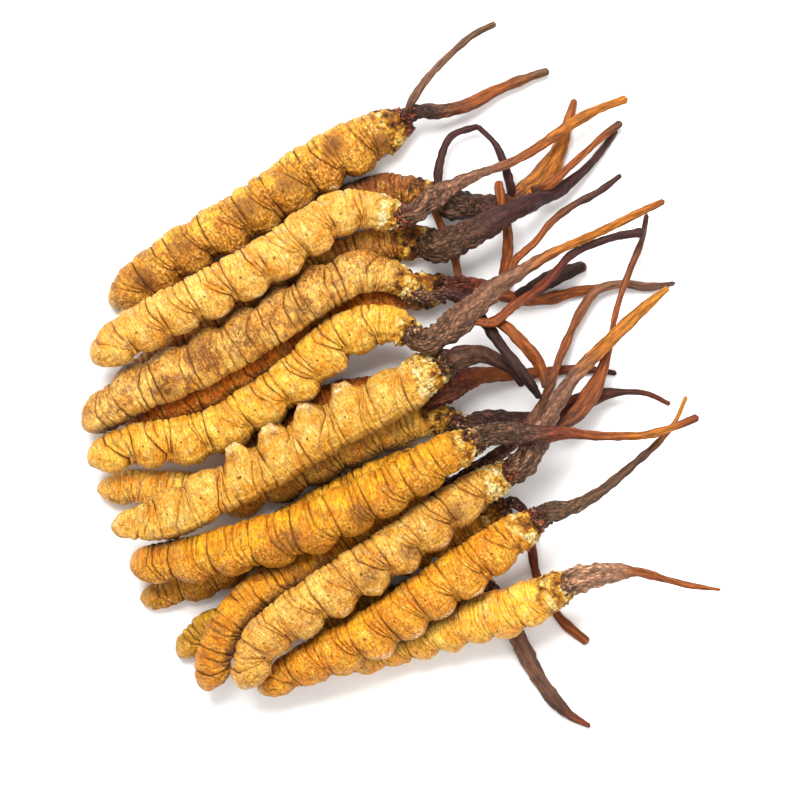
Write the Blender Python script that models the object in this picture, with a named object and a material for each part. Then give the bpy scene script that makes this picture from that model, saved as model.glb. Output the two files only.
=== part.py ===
"""A bundle of dried cordyceps: eighteen larvae in a heap, each with the fungus stalk that grew from its head.

Every piece follows a route of hand-chosen (x, y, radius) points in millimetres, seen from straight above, and
is laid on the pieces under it. A stalk that branches is parted at its main forks.
"""

import math

import bpy
import numpy as np

MM = 0.001
GAP = 0.42                # clear space that the laying keeps between two pieces
FLAT = 0.45               # how far the undersides that dried on the tray are flattened
PLATE_SWELL = 0.97        # a body plate against the route's radius
GROOVE_PINCH = 0.85       # the fold between two plates
BODY_PLATES = 9
BODY_SIDES = 10
BELLY_LEG_PLATES = (3, 4, 5, 6)
BELLY_LEG_RISE = 0.8
BELLY_LEG_RADIUS = 0.6
STALK_SIDES = 7
STALK_RING_SPACING = 3.4
CAP_DEPTH = 0.35          # depth of the first ring in a rounded end, in radii
BODY_STEP = 0.6           # spacing of the spheres that stand for a piece while it is laid
STALK_STEP = 0.28
TILT_LIMIT = 7.0          # a body's ends may lie this far above or below its middle
BOW_LIMIT = 2.4
BEND_ROUNDS = 700
SETTLE_ROUNDS = 12
STALK_FALL = 0.10         # drop of a free stalk for each millimetre of its length
ROUTE_SUBSTEPS = 16

# Larvae, tail to head. The belly turns from 0, down, to 90, the right-hand side seen from the tail.
LARVAE = {
    "a": (90, "B8823A", [(-36.4, 11.9, 1.6), (-34.4, 13.4, 2.6), (-29.0, 17.4, 3.1), (-22.1, 21.6, 3.2),
                         (-16.2, 25.3, 3.3), (-11.2, 28.8, 3.4), (-7.0, 31.1, 3.4), (-2.6, 33.3, 3.1),
                         (0.1, 34.9, 2.3), (1.2, 35.5, 1.5)]),
    "b": (90, "D9B05A", [(-38.3, 4.6, 1.7), (-36.1, 6.6, 2.6), (-31.6, 9.3, 3.0), (-26.8, 11.8, 3.0),
                         (-21.9, 14.4, 3.0), (-16.5, 17.4, 3.0), (-12.0, 20.6, 2.9), (-9.4, 22.5, 2.9),
                         (-6.6, 23.6, 2.7), (-4.0, 23.6, 2.5), (-1.2, 23.2, 2.2), (0.8, 22.5, 1.5)]),
    "c": (-54, "B58B52", [(-39.7, -3.5, 1.6), (-37.1, -1.4, 2.6), (-33.1, 1.5, 3.0), (-28.8, 3.2, 3.1),
                         (-24.4, 5.2, 3.1), (-19.6, 7.9, 3.1), (-14.6, 11.0, 3.0), (-10.7, 13.4, 2.9),
                         (-7.5, 15.3, 2.8), (-4.2, 16.2, 2.6), (-1.2, 15.6, 2.2), (1.2, 13.8, 1.7),
                         (2.1, 12.8, 1.3)]),
    "d": (90, "D69A35", [(-38.9, -8.1, 1.6), (-37.1, -6.9, 2.4), (-32.5, -5.6, 2.8), (-27.5, -5.1, 3.0),
                         (-23.1, -3.9, 3.0), (-19.3, -1.7, 3.0), (-15.4, 0.9, 3.0), (-11.7, 3.9, 3.0),
                         (-8.6, 7.0, 3.0), (-5.5, 8.7, 2.9), (-2.5, 9.3, 2.7), (0.6, 8.8, 2.2), (2.5, 7.6, 1.4)]),
    "e": (-90, "E2BE72", [(-36.2, -15.8, 1.5), (-33.6, -15.4, 1.7), (-31.9, -15.1, 2.6), (-28.1, -13.9, 3.1),
                           (-23.1, -11.3, 3.0), (-18.8, -9.1, 3.1), (-13.8, -6.2, 3.1), (-8.8, -3.2, 3.1),
                           (-3.8, -0.6, 3.1), (0.6, 1.8, 3.1), (3.8, 3.8, 2.7), (6.0, 5.0, 1.9)]),
    "f": (54, "C98F38", [(-38.1, -11.3, 1.3), (-35.6, -11.0, 1.9), (-32.5, -11.0, 2.3), (-28.1, -11.5, 2.6),
                         (-23.1, -12.0, 2.8), (-17.5, -10.6, 2.8), (-11.2, -8.0, 2.8), (-5.0, -5.3, 2.7),
                         (0.6, -3.2, 2.5), (5.2, -2.2, 2.0), (7.4, -2.8, 1.3)]),
    "g": (54, "CC8A30", [(-33.8, -20.5, 1.9), (-31.2, -20.4, 2.4), (-25.0, -19.6, 2.9), (-18.8, -18.0, 3.1),
                         (-12.5, -16.2, 3.2), (-6.9, -13.7, 3.1), (-1.2, -10.8, 2.9), (3.8, -7.9, 2.8),
                         (8.1, -5.5, 2.4), (10.1, -4.6, 1.5)]),
    "h": (54, "A0702C", [(-32.7, -24.9, 1.4), (-30.6, -24.6, 1.7), (-27.5, -23.6, 1.9), (-23.3, -21.9, 2.4),
                         (-19.0, -19.0, 2.4), (-14.1, -15.8, 2.4), (-9.1, -13.0, 2.4), (-4.0, -10.3, 2.3),
                         (1.2, -8.0, 2.1), (4.8, -6.5, 1.5)]),
    "i": (54, "B07F34", [(-27.8, -32.2, 1.4), (-26.5, -30.6, 1.8), (-24.4, -28.8, 2.1), (-20.6, -27.5, 2.2),
                         (-15.6, -27.5, 2.2), (-10.0, -27.4, 2.2), (-4.4, -26.3, 2.1), (1.2, -24.7, 2.1),
                         (6.2, -23.2, 1.9), (10.4, -22.5, 1.4)]),
    "j": (54, "BC8A36", [(-24.2, -36.3, 1.5), (-23.9, -34.3, 2.1), (-23.2, -32.5, 2.4), (-21.8, -29.0, 2.6),
                         (-18.8, -25.2, 2.7), (-15.0, -22.7, 2.6), (-10.6, -20.6, 2.6), (-6.2, -18.4, 2.5),
                         (-1.2, -15.4, 2.4), (3.8, -12.3, 2.1), (6.5, -10.5, 1.5)]),
    "k": (90, "D3A860", [(-19.6, -36.0, 1.7), (-18.8, -33.3, 2.4), (-16.8, -29.6, 2.8), (-13.5, -27.1, 3.1),
                         (-10.0, -24.6, 3.1), (-6.2, -22.1, 3.1), (-1.9, -19.4, 3.1), (2.5, -16.3, 3.0),
                         (6.3, -13.5, 2.8), (10.0, -10.9, 2.4), (13.1, -9.0, 2.1), (14.2, -8.5, 1.5)]),
    "l": (90, "D7A03C", [(-17.8, -36.3, 1.5), (-15.9, -35.2, 1.9), (-12.0, -33.1, 2.6), (-6.2, -30.4, 3.0),
                         (-1.2, -27.5, 3.1), (5.0, -23.2, 3.1), (10.0, -19.8, 3.0), (14.4, -16.6, 2.6),
                         (16.9, -14.8, 1.9), (17.6, -14.2, 1.4)]),
    "m": (54, "E0B24A", [(-9.8, -33.4, 1.1), (-7.5, -32.6, 2.0), (-4.0, -31.5, 2.5), (1.2, -29.8, 2.7),
                         (5.2, -28.4, 2.9), (9.4, -27.2, 2.9), (13.1, -26.4, 2.9), (16.9, -24.9, 2.7),
                         (19.6, -23.4, 2.3), (21.8, -22.5, 1.4)]),
    "n": (54, "B07A32", [(-34.8, -3.0, 1.0), (-31.2, -1.5, 2.0), (-26.2, 0.2, 2.5), (-20.5, 2.9, 2.6),
                         (-13.6, 6.8, 2.6), (-7.8, 10.4, 2.5), (-1.9, 12.7, 2.3), (3.1, 13.8, 2.4),
                         (5.7, 14.0, 1.9)]),
    "o": (54, "9C6A2A", [(-34.5, 3.2, 1.0), (-32.5, 3.9, 1.7), (-28.8, 5.6, 2.2), (-23.5, 8.0, 2.5),
                         (-16.6, 12.1, 2.5), (-10.8, 15.9, 2.5), (-6.0, 18.4, 2.4), (-0.6, 19.7, 2.3),
                         (2.3, 19.9, 2.3), (4.3, 19.8, 1.8)]),
    "p": (54, "7C4A22", [(-29.6, 10.1, 0.9), (-26.1, 12.5, 1.7), (-19.2, 16.8, 2.0), (-13.4, 20.5, 2.0),
                         (-8.2, 23.9, 2.0), (-4.8, 25.8, 2.0), (-1.0, 26.5, 2.0), (3.1, 25.8, 1.9),
                         (5.5, 25.0, 1.3)]),
    "t": (54, "A97330", [(-9.0, -23.6, 1.0), (-7.0, -22.8, 1.5), (-4.3, -21.6, 1.8), (0.0, -19.6, 2.0),
                         (4.8, -17.6, 2.0), (9.5, -15.3, 2.0), (12.2, -13.7, 1.7), (13.4, -12.9, 1.3)]),
    "w": (54, "A97330", [(-22.0, -5.6, 1.0), (-20.5, -4.8, 1.6), (-17.3, -3.4, 2.0), (-12.3, -1.2, 2.1),
                         (-7.1, 0.5, 2.1), (-1.6, 1.1, 2.0), (2.0, 0.9, 1.8), (4.0, 0.7, 1.2)]),
}

# Stalks, head end to tip, each with what it grows from.
STALKS = {
    "a": ("a", "6B4A34", [(2.1, 36.5, 1.0), (4.2, 36.2, 0.9), (7.2, 36.5, 0.9), (9.4, 37.6, 0.9),
                          (13.2, 39.5, 0.75), (18.6, 41.4, 0.6)]),
    "a_branch": ("a", "5C4436", [(0.9, 36.5, 0.5), (3.1, 40.1, 0.6), (5.4, 42.5, 0.55), (8.5, 45.4, 0.5),
                                 (11.9, 47.2, 0.4)]),
    "b": ("b", "8A5A34", [(1.5, 23.4, 1.3), (3.1, 24.6, 1.5), (6.2, 26.6, 1.0), (10.0, 28.4, 0.6),
                          (13.4, 29.6, 0.55), (16.9, 31.5, 0.6), (21.2, 34.5, 0.7), (25.0, 36.6, 0.55),
                          (28.4, 37.8, 0.5)]),
    "c": ("c", "6A5040", [(2.9, 12.9, 0.6), (5.6, 13.4, 0.75), (8.1, 12.2, 0.8), (10.6, 9.4, 0.8),
                          (13.2, 5.8, 0.8), (15.5, 2.9, 0.7), (17.2, 0.5, 0.4)]),
    "c_branch": ("c", "9A5A2C", [(12.4, 9.6, 0.6), (14.4, 7.8, 0.75), (16.5, 5.5, 0.75), (17.8, 3.4, 0.7),
                                 (18.0, 1.5, 0.45)]),
    "d": ("d", "8C6440", [(3.9, 7.4, 1.6), (5.6, 8.7, 1.9), (7.7, 10.4, 1.9), (10.2, 12.8, 1.7),
                          (12.6, 14.6, 1.4), (15.1, 16.2, 1.0), (17.6, 17.7, 0.8), (20.6, 19.2, 0.6),
                          (25.0, 21.1, 0.55), (30.0, 23.6, 0.5), (33.0, 25.0, 0.4)]),
    "d_branch_1": ("d", "7A4630", [(14.0, 17.2, 0.5), (16.2, 19.2, 0.45), (18.1, 21.5, 0.5), (20.0, 23.5, 0.55),
                                   (22.5, 24.9, 0.55), (25.6, 26.6, 0.55), (27.5, 28.2, 0.4)]),
    "d_branch_2": ("d", "6E4028", [(11.2, 9.6, 0.6), (13.5, 11.4, 0.6), (15.6, 12.9, 0.6), (17.6, 14.2, 0.6),
                                   (19.4, 16.2, 0.6), (21.5, 18.4, 0.6), (25.0, 19.9, 0.6), (28.1, 20.8, 0.6),
                                   (30.5, 21.0, 0.7)]),
    "e": ("e", "5A4436", [(7.4, 5.3, 1.4), (9.5, 5.8, 1.2), (11.6, 5.2, 0.9), (13.7, 3.7, 0.5),
                          (15.2, 1.8, 0.4)]),
    "f": ("f", "8C5C30", [(8.6, -2.9, 1.1), (11.4, -2.2, 1.1), (15.0, -2.6, 1.1), (18.6, -2.2, 1.2),
                          (21.9, -0.6, 1.4), (24.4, 0.6, 1.0), (26.8, 1.0, 0.5), (29.8, 1.1, 0.35),
                          (31.5, 0.6, 0.35), (33.8, -0.5, 0.3)]),
    "g": ("g", "845534", [(11.0, -4.1, 1.4), (14.4, -4.0, 1.3), (18.1, -4.2, 1.05), (21.5, -4.0, 0.7),
                          (25.0, -4.4, 0.6), (31.2, -4.2, 0.6), (34.4, -3.1, 0.6), (37.1, -2.0, 0.55)]),
    "h": ("h", "8A552C", [(5.5, -6.1, 0.9), (10.0, -5.1, 0.9), (15.0, -4.1, 0.9), (19.4, -3.4, 0.8),
                          (21.9, -1.6, 1.0), (23.4, 0.3, 1.2), (24.7, 2.8, 0.9), (25.8, 5.8, 0.5),
                          (26.5, 9.4, 0.45), (27.1, 12.1, 0.45), (28.4, 15.6, 0.45), (29.2, 17.9, 0.45),
                          (30.0, 19.6, 0.4), (30.5, 21.9, 0.3), (30.8, 23.5, 0.3)]),
    "i": ("i", "5E3C2C", [(11.5, -24.0, 0.9), (13.1, -26.8, 1.05), (14.8, -30.0, 1.1), (16.1, -32.8, 1.0),
                          (18.0, -35.9, 0.95), (20.0, -38.4, 0.8), (22.0, -40.0, 0.55), (23.8, -40.9, 0.3)]),
    "j": ("j", "553430", [(7.1, -10.1, 0.9), (10.2, -7.9, 0.9), (13.4, -5.8, 0.9), (16.0, -3.0, 0.8),
                          (18.1, 0.5, 0.7), (19.5, 4.4, 0.6), (21.2, 8.4, 0.55), (23.1, 12.1, 0.6),
                          (25.4, 14.4, 0.55), (28.8, 14.6, 0.5), (31.9, 14.2, 0.55), (34.5, 14.8, 0.25)]),
    "k": ("k", "946A40", [(15.0, -8.0, 1.7), (16.6, -5.6, 1.7), (18.1, -2.8, 1.4), (19.5, -0.1, 1.2),
                          (21.6, 3.0, 1.0), (24.4, 5.9, 0.9), (28.1, 9.5, 0.8), (31.9, 12.9, 0.7),
                          (33.5, 14.2, 0.4)]),
    "l": ("l", "6E4A34", [(18.2, -14.0, 1.3), (20.9, -13.4, 1.0), (23.8, -12.0, 0.8), (26.5, -10.0, 0.7),
                          (29.4, -7.6, 0.6), (31.9, -5.4, 0.55), (33.4, -3.8, 0.45), (34.5, -2.1, 0.3),
                          (35.1, -0.5, 0.35), (35.6, 0.6, 0.35)]),
    "m": ("m", "7C5C48", [(22.5, -22.1, 1.7), (25.0, -21.7, 1.6), (27.5, -21.2, 1.1), (29.8, -21.4, 0.75),
                          (31.9, -22.0, 0.55), (35.0, -22.8, 0.45), (37.9, -23.4, 0.35), (39.9, -23.6, 0.2)]),
    "n": ("n", "8A542C", [(7.0, 14.4, 1.3), (10.0, 14.2, 1.15), (13.5, 13.0, 0.95), (16.9, 12.6, 0.8),
                          (20.0, 13.1, 0.75), (22.8, 13.9, 0.6), (25.2, 14.2, 0.45)]),
    "n_branch_1": ("n", "4A342A", [(16.2, 13.9, 0.9), (18.2, 15.0, 1.1), (20.7, 16.1, 1.0), (23.2, 17.0, 0.8)]),
    "n_branch_2": ("n", "7A4C2C", [(12.9, 15.0, 0.7), (13.2, 17.2, 0.7), (13.4, 20.6, 0.7), (12.6, 24.4, 0.7),
                                   (12.2, 27.0, 0.7)]),
    "n_branch_3": ("n", "7A4A2A", [(7.0, 16.4, 0.5), (6.8, 18.0, 0.55), (5.9, 20.1, 0.55), (4.8, 22.2, 0.5),
                                   (4.2, 23.8, 0.45)]),
    "o": ("o", "54362C", [(5.6, 19.2, 1.9), (8.6, 20.8, 1.8), (12.4, 22.8, 1.4), (16.1, 24.7, 1.1),
                          (20.0, 26.5, 0.9), (23.1, 29.0, 0.55), (25.6, 31.9, 0.5), (27.1, 34.1, 0.45)]),
    "p": ("p", "A0662E", [(6.2, 24.6, 1.8), (9.6, 24.4, 1.5), (13.0, 24.8, 1.1), (16.0, 26.5, 1.35),
                          (18.4, 29.0, 1.5), (20.0, 31.9, 1.0), (21.0, 35.2, 0.65), (21.8, 37.9, 0.5)]),
    "p_branch_1": ("p", "944A28", [(18.6, 27.0, 0.6), (20.9, 29.1, 0.5), (23.1, 31.1, 0.45), (25.4, 33.2, 0.5),
                                   (27.6, 34.9, 0.55)]),
    "p_branch_2": ("p", "4A2C2C", [(4.6, 26.8, 0.55), (4.9, 30.0, 0.5), (5.9, 32.6, 0.45), (7.4, 33.9, 0.4),
                                   (9.3, 34.25, 0.4)]),
    "p_branch_3": ("p", "4A2C30", [(13.7, 26.9, 0.6), (13.3, 28.3, 0.55), (12.8, 29.9, 0.55), (12.0, 31.8, 0.45),
                                   (10.9, 33.3, 0.4), (9.85, 34.1, 0.4)]),
    "t": ("t", "4E3230", [(14.4, -12.5, 0.6), (15.6, -13.4, 0.6), (16.2, -16.2, 0.55), (16.6, -20.4, 0.55),
                          (18.1, -24.6, 0.55), (20.4, -27.8, 0.6), (23.5, -30.4, 0.6)]),
    "w": ("w", "6A4834", [(4.8, 0.9, 1.6), (7.6, 2.5, 1.5), (11.2, 3.3, 0.9), (15.0, 3.2, 0.7),
                          (19.4, 3.8, 0.6), (23.8, 3.9, 0.5), (27.1, 3.4, 0.3)]),
}

# The heap from the tray upwards. Each piece lies on those before it.
HEAP = """
larva_p larva_o larva_n larva_w larva_f larva_h larva_t larva_i
stalk_i stalk_t stalk_p stalk_p_branch_2 stalk_p_branch_3 stalk_n stalk_n_branch_1 stalk_n_branch_3
stalk_n_branch_2 stalk_o stalk_p_branch_1 larva_a stalk_a stalk_a_branch stalk_w stalk_f larva_c
larva_b stalk_b larva_d larva_m stalk_m larva_l stalk_l larva_j stalk_j stalk_h
larva_g larva_k larva_e stalk_e stalk_c stalk_c_branch stalk_d_branch_1 stalk_d_branch_2
stalk_k stalk_g stalk_d
""".split()


def smooth_route(points, step):
    """Evenly spaced (x, y, radius) rows on a smooth curve through the route's points, and how far along each is."""
    knots = np.array(points, float)
    slopes = np.gradient(knots, axis=0)
    t = np.linspace(0, 1, ROUTE_SUBSTEPS, endpoint=False)[:, None]
    rows = []
    for start, end, leave, arrive in zip(knots[:-1], knots[1:], slopes[:-1], slopes[1:]):
        rows.append((2 * t**3 - 3 * t**2 + 1) * start + (t**3 - 2 * t**2 + t) * leave
                    + (3 * t**2 - 2 * t**3) * end + (t**3 - t**2) * arrive)
    rows = np.vstack(rows + [knots[-1:]])
    along = np.concatenate([[0], np.cumsum(np.hypot(*np.diff(rows[:, :2], axis=0).T))])
    wanted = np.linspace(0, along[-1], round(along[-1] / step) + 1)
    return np.column_stack([np.interp(wanted, along, column) for column in rows.T]), wanted


def rounding(along, length, radius):
    """Share of the full radius that the rounded ends leave."""
    from_end = np.minimum(along, length - along)
    return np.sqrt(np.clip(1 - (1 - np.clip(from_end / radius, 0, 1))**2, 0, 1))


def head_joint(key, points):
    """Where a stalk meets the head it grew from, a hair's gap in front of it."""
    head = np.array(LARVAE[key][2][-1][:2])
    towards = np.array(points[0][:2]) - head
    x, y = head + towards * GAP / np.linalg.norm(towards)
    return x, y, points[0][2]


class Piece:
    """One grown piece: its route seen from above, and its height once it is laid."""

    def __init__(self, name):
        kind, _, key = name.partition("_")
        self.name = name
        self.is_body = kind == "larva"
        if self.is_body:
            belly, self.colour, points = LARVAE[key]
        else:
            self.grows_from, self.colour, points = STALKS[key]
            belly = 0
            if key == self.grows_from:
                points = [head_joint(key, points)] + points
        self.belly = math.radians(belly)
        self.rows, self.along = smooth_route(points, BODY_STEP if self.is_body else STALK_STEP)
        self.length = self.along[-1]
        self.rings = self.ring_places()
        self.knots = np.concatenate([[0], self.rings, [self.length]])
        for column in self.rows.T:
            column[:] = np.interp(self.along, self.knots, np.interp(self.knots, self.along, column))
        swell = PLATE_SWELL if self.is_body else 1
        self.radius = self.rows[:, 2] * rounding(self.along, self.length, self.rows[:, 2]) * swell
        self.height = None

    def ring_places(self):
        """How far along the piece each ring of corners is."""
        first = CAP_DEPTH * self.rows[0, 2]
        last = self.length - CAP_DEPTH * self.rows[-1, 2]
        count = 2 * BODY_PLATES + 1 if self.is_body else max(4, round(self.length / STALK_RING_SPACING) + 1)
        return np.linspace(first, last, count)

    def at(self, place):
        """Centre and radius at a distance along the piece."""
        x, y, radius = (np.interp(place, self.along, column) for column in self.rows.T)
        return np.array([x, y, np.interp(place, self.along, self.height)]), radius

    def directions(self, place):
        """Unit vectors ahead, to the right and up at a distance along the piece."""
        ahead = self.at(min(place + 0.5, self.length))[0] - self.at(max(place - 0.5, 0))[0]
        ahead /= np.linalg.norm(ahead)
        right = np.cross(ahead, (0, 0, 1))
        right /= np.linalg.norm(right)
        return ahead, right, np.cross(right, ahead)

    def corner(self, place, turn, radius):
        """A point on the skin. Turn 0 is down, 90 degrees the right-hand side."""
        centre, _ = self.at(place)
        _, right, up = self.directions(place)
        point = centre + radius * (math.sin(turn) * right - math.cos(turn) * up)
        point[2] = max(point[2], 0)
        return point

    def leg_places(self):
        """How far along the body each belly leg is."""
        return [self.rings[2 * plate + 1] for plate in BELLY_LEG_PLATES] if self.is_body else []

    def spheres(self):
        """(x, y, radius, height above the spine, index along the route) of the balls that fill the piece."""
        balls = [(x, y, radius, 0, index) for index, ((x, y, _), radius) in enumerate(zip(self.rows, self.radius))]
        for place in self.leg_places():
            index = int(np.argmin(abs(self.along - place)))
            ahead = self.rows[index + 1, :2] - self.rows[index - 1, :2]
            ahead /= np.linalg.norm(ahead)
            out = self.radius[index] + BELLY_LEG_RISE - BELLY_LEG_RADIUS
            x, y = self.rows[index, :2] + out * math.sin(self.belly) * np.array([ahead[1], -ahead[0]])
            balls.append((x, y, BELLY_LEG_RADIUS, -out * math.cos(self.belly), index))
        return np.array(balls)


def heights_needed(balls, heap):
    """Lowest height of each ball's centre that clears the tray and the heap."""
    need = balls[:, 2] - np.where(balls[:, 2] > 1.2, FLAT, 0)
    if len(heap):
        reach = balls[:, None, 2] + heap[None, :, 2] + GAP
        apart = np.hypot(balls[:, None, 0] - heap[None, :, 0], balls[:, None, 1] - heap[None, :, 1])
        over = heap[None, :, 3] + np.sqrt(np.clip(reach**2 - apart**2, 0, None))
        need = np.maximum(need, np.where(apart < reach, over, 0).max(axis=1))
    return need


def lay_stiff(piece, heap):
    """Lays a body as low as it goes, tilted and a little bowed."""
    balls = piece.spheres()
    need = heights_needed(balls, heap)
    index = balls[:, 4].astype(int)
    middle = np.linspace(-1, 1, len(piece.rows))
    lowest = None
    for tilt in np.linspace(-TILT_LIMIT, TILT_LIMIT, 71):
        for bow in np.linspace(-BOW_LIMIT, BOW_LIMIT, 9):
            shape = tilt * middle + bow * middle**2
            lift = (need - balls[:, 3] - shape[index]).max()
            mean = lift + shape.mean()
            if lowest is None or mean < lowest:
                lowest = mean
                piece.height = lift + shape


def lay_bending(piece, heap, start):
    """Lays a stalk from its root's height over whatever it crosses, in one smooth bend."""
    need = heights_needed(piece.spheres(), heap)
    height = np.maximum(start - STALK_FALL * piece.along, need)
    for _ in range(BEND_ROUNDS):
        height[1:-1] += (height[:-2] - 2 * height[1:-1] + height[2:]) / 2.5
        height[-1] = 2 * height[-2] - height[-3]
        height = np.maximum(height, need)
    bends = np.interp(piece.knots, piece.along, height)
    for _ in range(SETTLE_ROUNDS):
        piece.height = np.interp(piece.along, piece.knots, bends)
        short = np.clip(need - piece.height, 0, None)
        for knot in range(1, len(bends)):
            between = (piece.along >= piece.knots[knot - 1]) & (piece.along <= piece.knots[knot])
            bends[knot - 1:knot + 1] += short[between].max(initial=0) / 2


def laid_heap():
    """Every piece with its height, laid in the heap's order."""
    pieces = {}
    heap = np.empty((0, 4))
    for name in HEAP:
        piece = Piece(name)
        if piece.is_body:
            lay_stiff(piece, heap)
        else:
            start = pieces["larva_" + piece.grows_from].height[-1]
            lay_bending(piece, heap, root_height(piece, pieces, start))
        balls = piece.spheres()
        height = piece.height[balls[:, 4].astype(int)] + balls[:, 3]
        heap = np.vstack([heap, np.column_stack([balls[:, :3], height])])
        pieces[name] = piece
    return pieces


def root_height(piece, pieces, from_head):
    """A branch starts at the height of the stalk beside it, where that stalk is already laid."""
    main = pieces.get("stalk_" + piece.grows_from)
    if main is None or main.name == piece.name or "branch" not in piece.name:
        return from_head
    nearest = np.argmin(np.hypot(*(main.rows[:, :2] - piece.rows[0, :2]).T))
    return main.height[nearest]


def skin(piece):
    """Corners and faces of the closed skin: rings of corners, with a point at each end."""
    sides = BODY_SIDES if piece.is_body else STALK_SIDES
    corners = [piece.corner(0, 0, 0)]
    for number, place in enumerate(piece.rings):
        radius = piece.at(place)[1] * rounding(place, piece.length, piece.at(place)[1])
        if piece.is_body:
            radius *= PLATE_SWELL if number % 2 else GROOVE_PINCH
        for side in range(sides):
            rise = BELLY_LEG_RISE if side == 0 and place in piece.leg_places() else 0
            corners.append(piece.corner(place, piece.belly + side * 2 * math.pi / sides, radius + rise))
    corners.append(piece.corner(piece.length, 0, 0))
    tip = len(corners) - 1
    faces = []
    for side in range(sides):
        after = (side + 1) % sides
        faces.append((0, 1 + side, 1 + after))
        faces.append((tip, tip - sides + after, tip - sides + side))
        for ring in range(len(piece.rings) - 1):
            low = 1 + ring * sides
            high = low + sides
            faces.append((low + side, high + side, high + after))
            faces.append((low + side, high + after, low + after))
    return np.array(corners), faces


def srgb(code):
    """Linear colour of an sRGB hex code."""
    values = [int(code[i:i + 2], 16) / 255 for i in (0, 2, 4)]
    return [v / 12.92 if v <= 0.04045 else ((v + 0.055) / 1.055)**2.4 for v in values] + [1]


def finish(name, code, roughness):
    """A plain material in the piece's own colour."""
    material = bpy.data.materials.new(name)
    material.use_nodes = True
    shader = material.node_tree.nodes["Principled BSDF"]
    shader.inputs["Base Color"].default_value = srgb(code)
    shader.inputs["Roughness"].default_value = roughness
    shader.inputs["Metallic"].default_value = 0
    return material


def main():
    for old in list(bpy.data.objects):
        bpy.data.objects.remove(old, do_unlink=True)
    pieces = laid_heap()
    skins = {name: skin(piece) for name, piece in pieces.items()}
    everything = np.vstack([corners for corners, _ in skins.values()])
    middle = (everything.min(axis=0) + everything.max(axis=0)) / 2
    middle[2] = 0
    for name, (corners, faces) in skins.items():
        mesh = bpy.data.meshes.new(name)
        mesh.from_pydata(((corners - middle) * MM).tolist(), [], faces)
        mesh.validate()
        mesh.shade_smooth()
        piece = pieces[name]
        mesh.materials.append(finish(name, piece.colour, 0.65 if piece.is_body else 0.75))
        bpy.context.collection.objects.link(bpy.data.objects.new(name, mesh))


main()
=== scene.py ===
import math

import bmesh
import bpy
import numpy as np
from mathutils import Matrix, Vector


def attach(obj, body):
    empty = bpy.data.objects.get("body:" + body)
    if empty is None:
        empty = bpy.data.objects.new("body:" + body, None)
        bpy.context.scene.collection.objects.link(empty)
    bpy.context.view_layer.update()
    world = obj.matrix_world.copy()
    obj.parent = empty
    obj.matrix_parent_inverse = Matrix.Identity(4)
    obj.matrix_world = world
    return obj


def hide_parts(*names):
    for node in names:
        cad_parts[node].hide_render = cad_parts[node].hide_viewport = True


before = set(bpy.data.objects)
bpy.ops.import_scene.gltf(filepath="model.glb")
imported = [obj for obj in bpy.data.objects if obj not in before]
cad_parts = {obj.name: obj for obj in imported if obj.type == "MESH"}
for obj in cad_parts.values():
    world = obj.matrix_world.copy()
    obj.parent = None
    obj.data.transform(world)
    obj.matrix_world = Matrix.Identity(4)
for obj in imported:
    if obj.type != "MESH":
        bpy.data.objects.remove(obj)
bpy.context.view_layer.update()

# Lengths are in millimetres and turns in radians, unless a comment says otherwise.
MM = 0.001
FULL_TURN = 2 * math.pi

# Larva husks: rings of points round a middle line
HUSK_SIDES = 66
SEGMENTS = 8
FOLDS = 3
PLATE_RINGS = 10  # rings across a segment's wide plate
FOLD_RINGS = 6  # and across each narrow fold beside it
NECK_RINGS = 56
RING_CROWDING = 0.11  # how much closer together they lie beside a groove
HUSK_RADIUS = 3.0  # of a common husk
HUSK_SWELL = 0.12  # how far the skin stands past the solid's radius
END_GAP = 0.03  # between a husk's outermost rings and its poles
TAIL_RADIUS = 2.0  # of the rounding at the tail's end
HEAD_RADIUS = 1.1  # and at the head's end

# How a segment is parted into its plate and folds
GROOVE_STRAY = 0.3  # how far the groove between two segments strays
BACK_PLATE_SHARE = 0.46  # share of a segment that its plate takes on the back
BACK_PLATE_STRAY = 0.10
SIDE_PLATE_SHARE = 0.88  # and low on the side, where the folds run together
FOLDS_MEET = 1.0  # the folds run together up to this turn from the belly
FOLDS_SPREAD = 1.15  # and are spread out after this much more
FOLD_WIDTHS = (0.6, 1.4)  # the folds' widths against each other
TAIL_CALM = 2.5  # the grooves wander less this near to the tail's end
HEAD_CALM = 1.2  # and to the head's end

# Relief, from 0 in the deepest groove to 1 on a plate
FOLD_TOP = 0.84
LOW_FOLD_TOP = 0.3  # the folds' height where they run together, against their full height
FOLD_POWER = 3  # how flat a fold is on top
PLATE_POWER = 7  # and a plate, on the back
SIDE_POWER_LOSS = 4  # a plate is this much rounder low on the side
LOW_SIDE = (1.9, 1.1)  # the low side's turn from the belly: where it starts, and where it is full
GROOVE_DEPTHS = (0.5, 1.0)  # each groove's depth, against the husk's own
SEGMENT_GROOVE_DEPTHS = (0.85, 1.0)  # and that of a groove between segments
TAIL_RING = 2.2  # distance of the last groove from the tail's end
TAIL_RING_WIDTH = 0.15
LOW_GROOVE_GAIN = 0.9  # how much deeper the grooves are low on the side
NECK_CRACK_GAIN = 0.3  # and the cracks of the neck

# Neck
CRUMB = 0.85  # width of the crumbs on the neck
CRUMB_TONE_SPREAD = 0.16
CRUMB_RISES = (0.6, 1.1)  # their heights against each other
NECK_BLEND = 1.2  # the length over which the skin turns to crumbs
CREVICE = 1.9  # a skin nearer than this to another husk is darkened with painted shade

# Belly legs
LEG_WIDTH = 1.0
TALL_LEG_WIDTH = 1.5  # of legs that rise over 1 mm
LEG_ANGLE = 0.40  # how far the legs of a pair stand from the belly's middle line
SOLE_RADIUS = 0.45  # of the ring round a leg's sole, against the leg's width
SOLE_RING_WIDTH = 0.14

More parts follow.
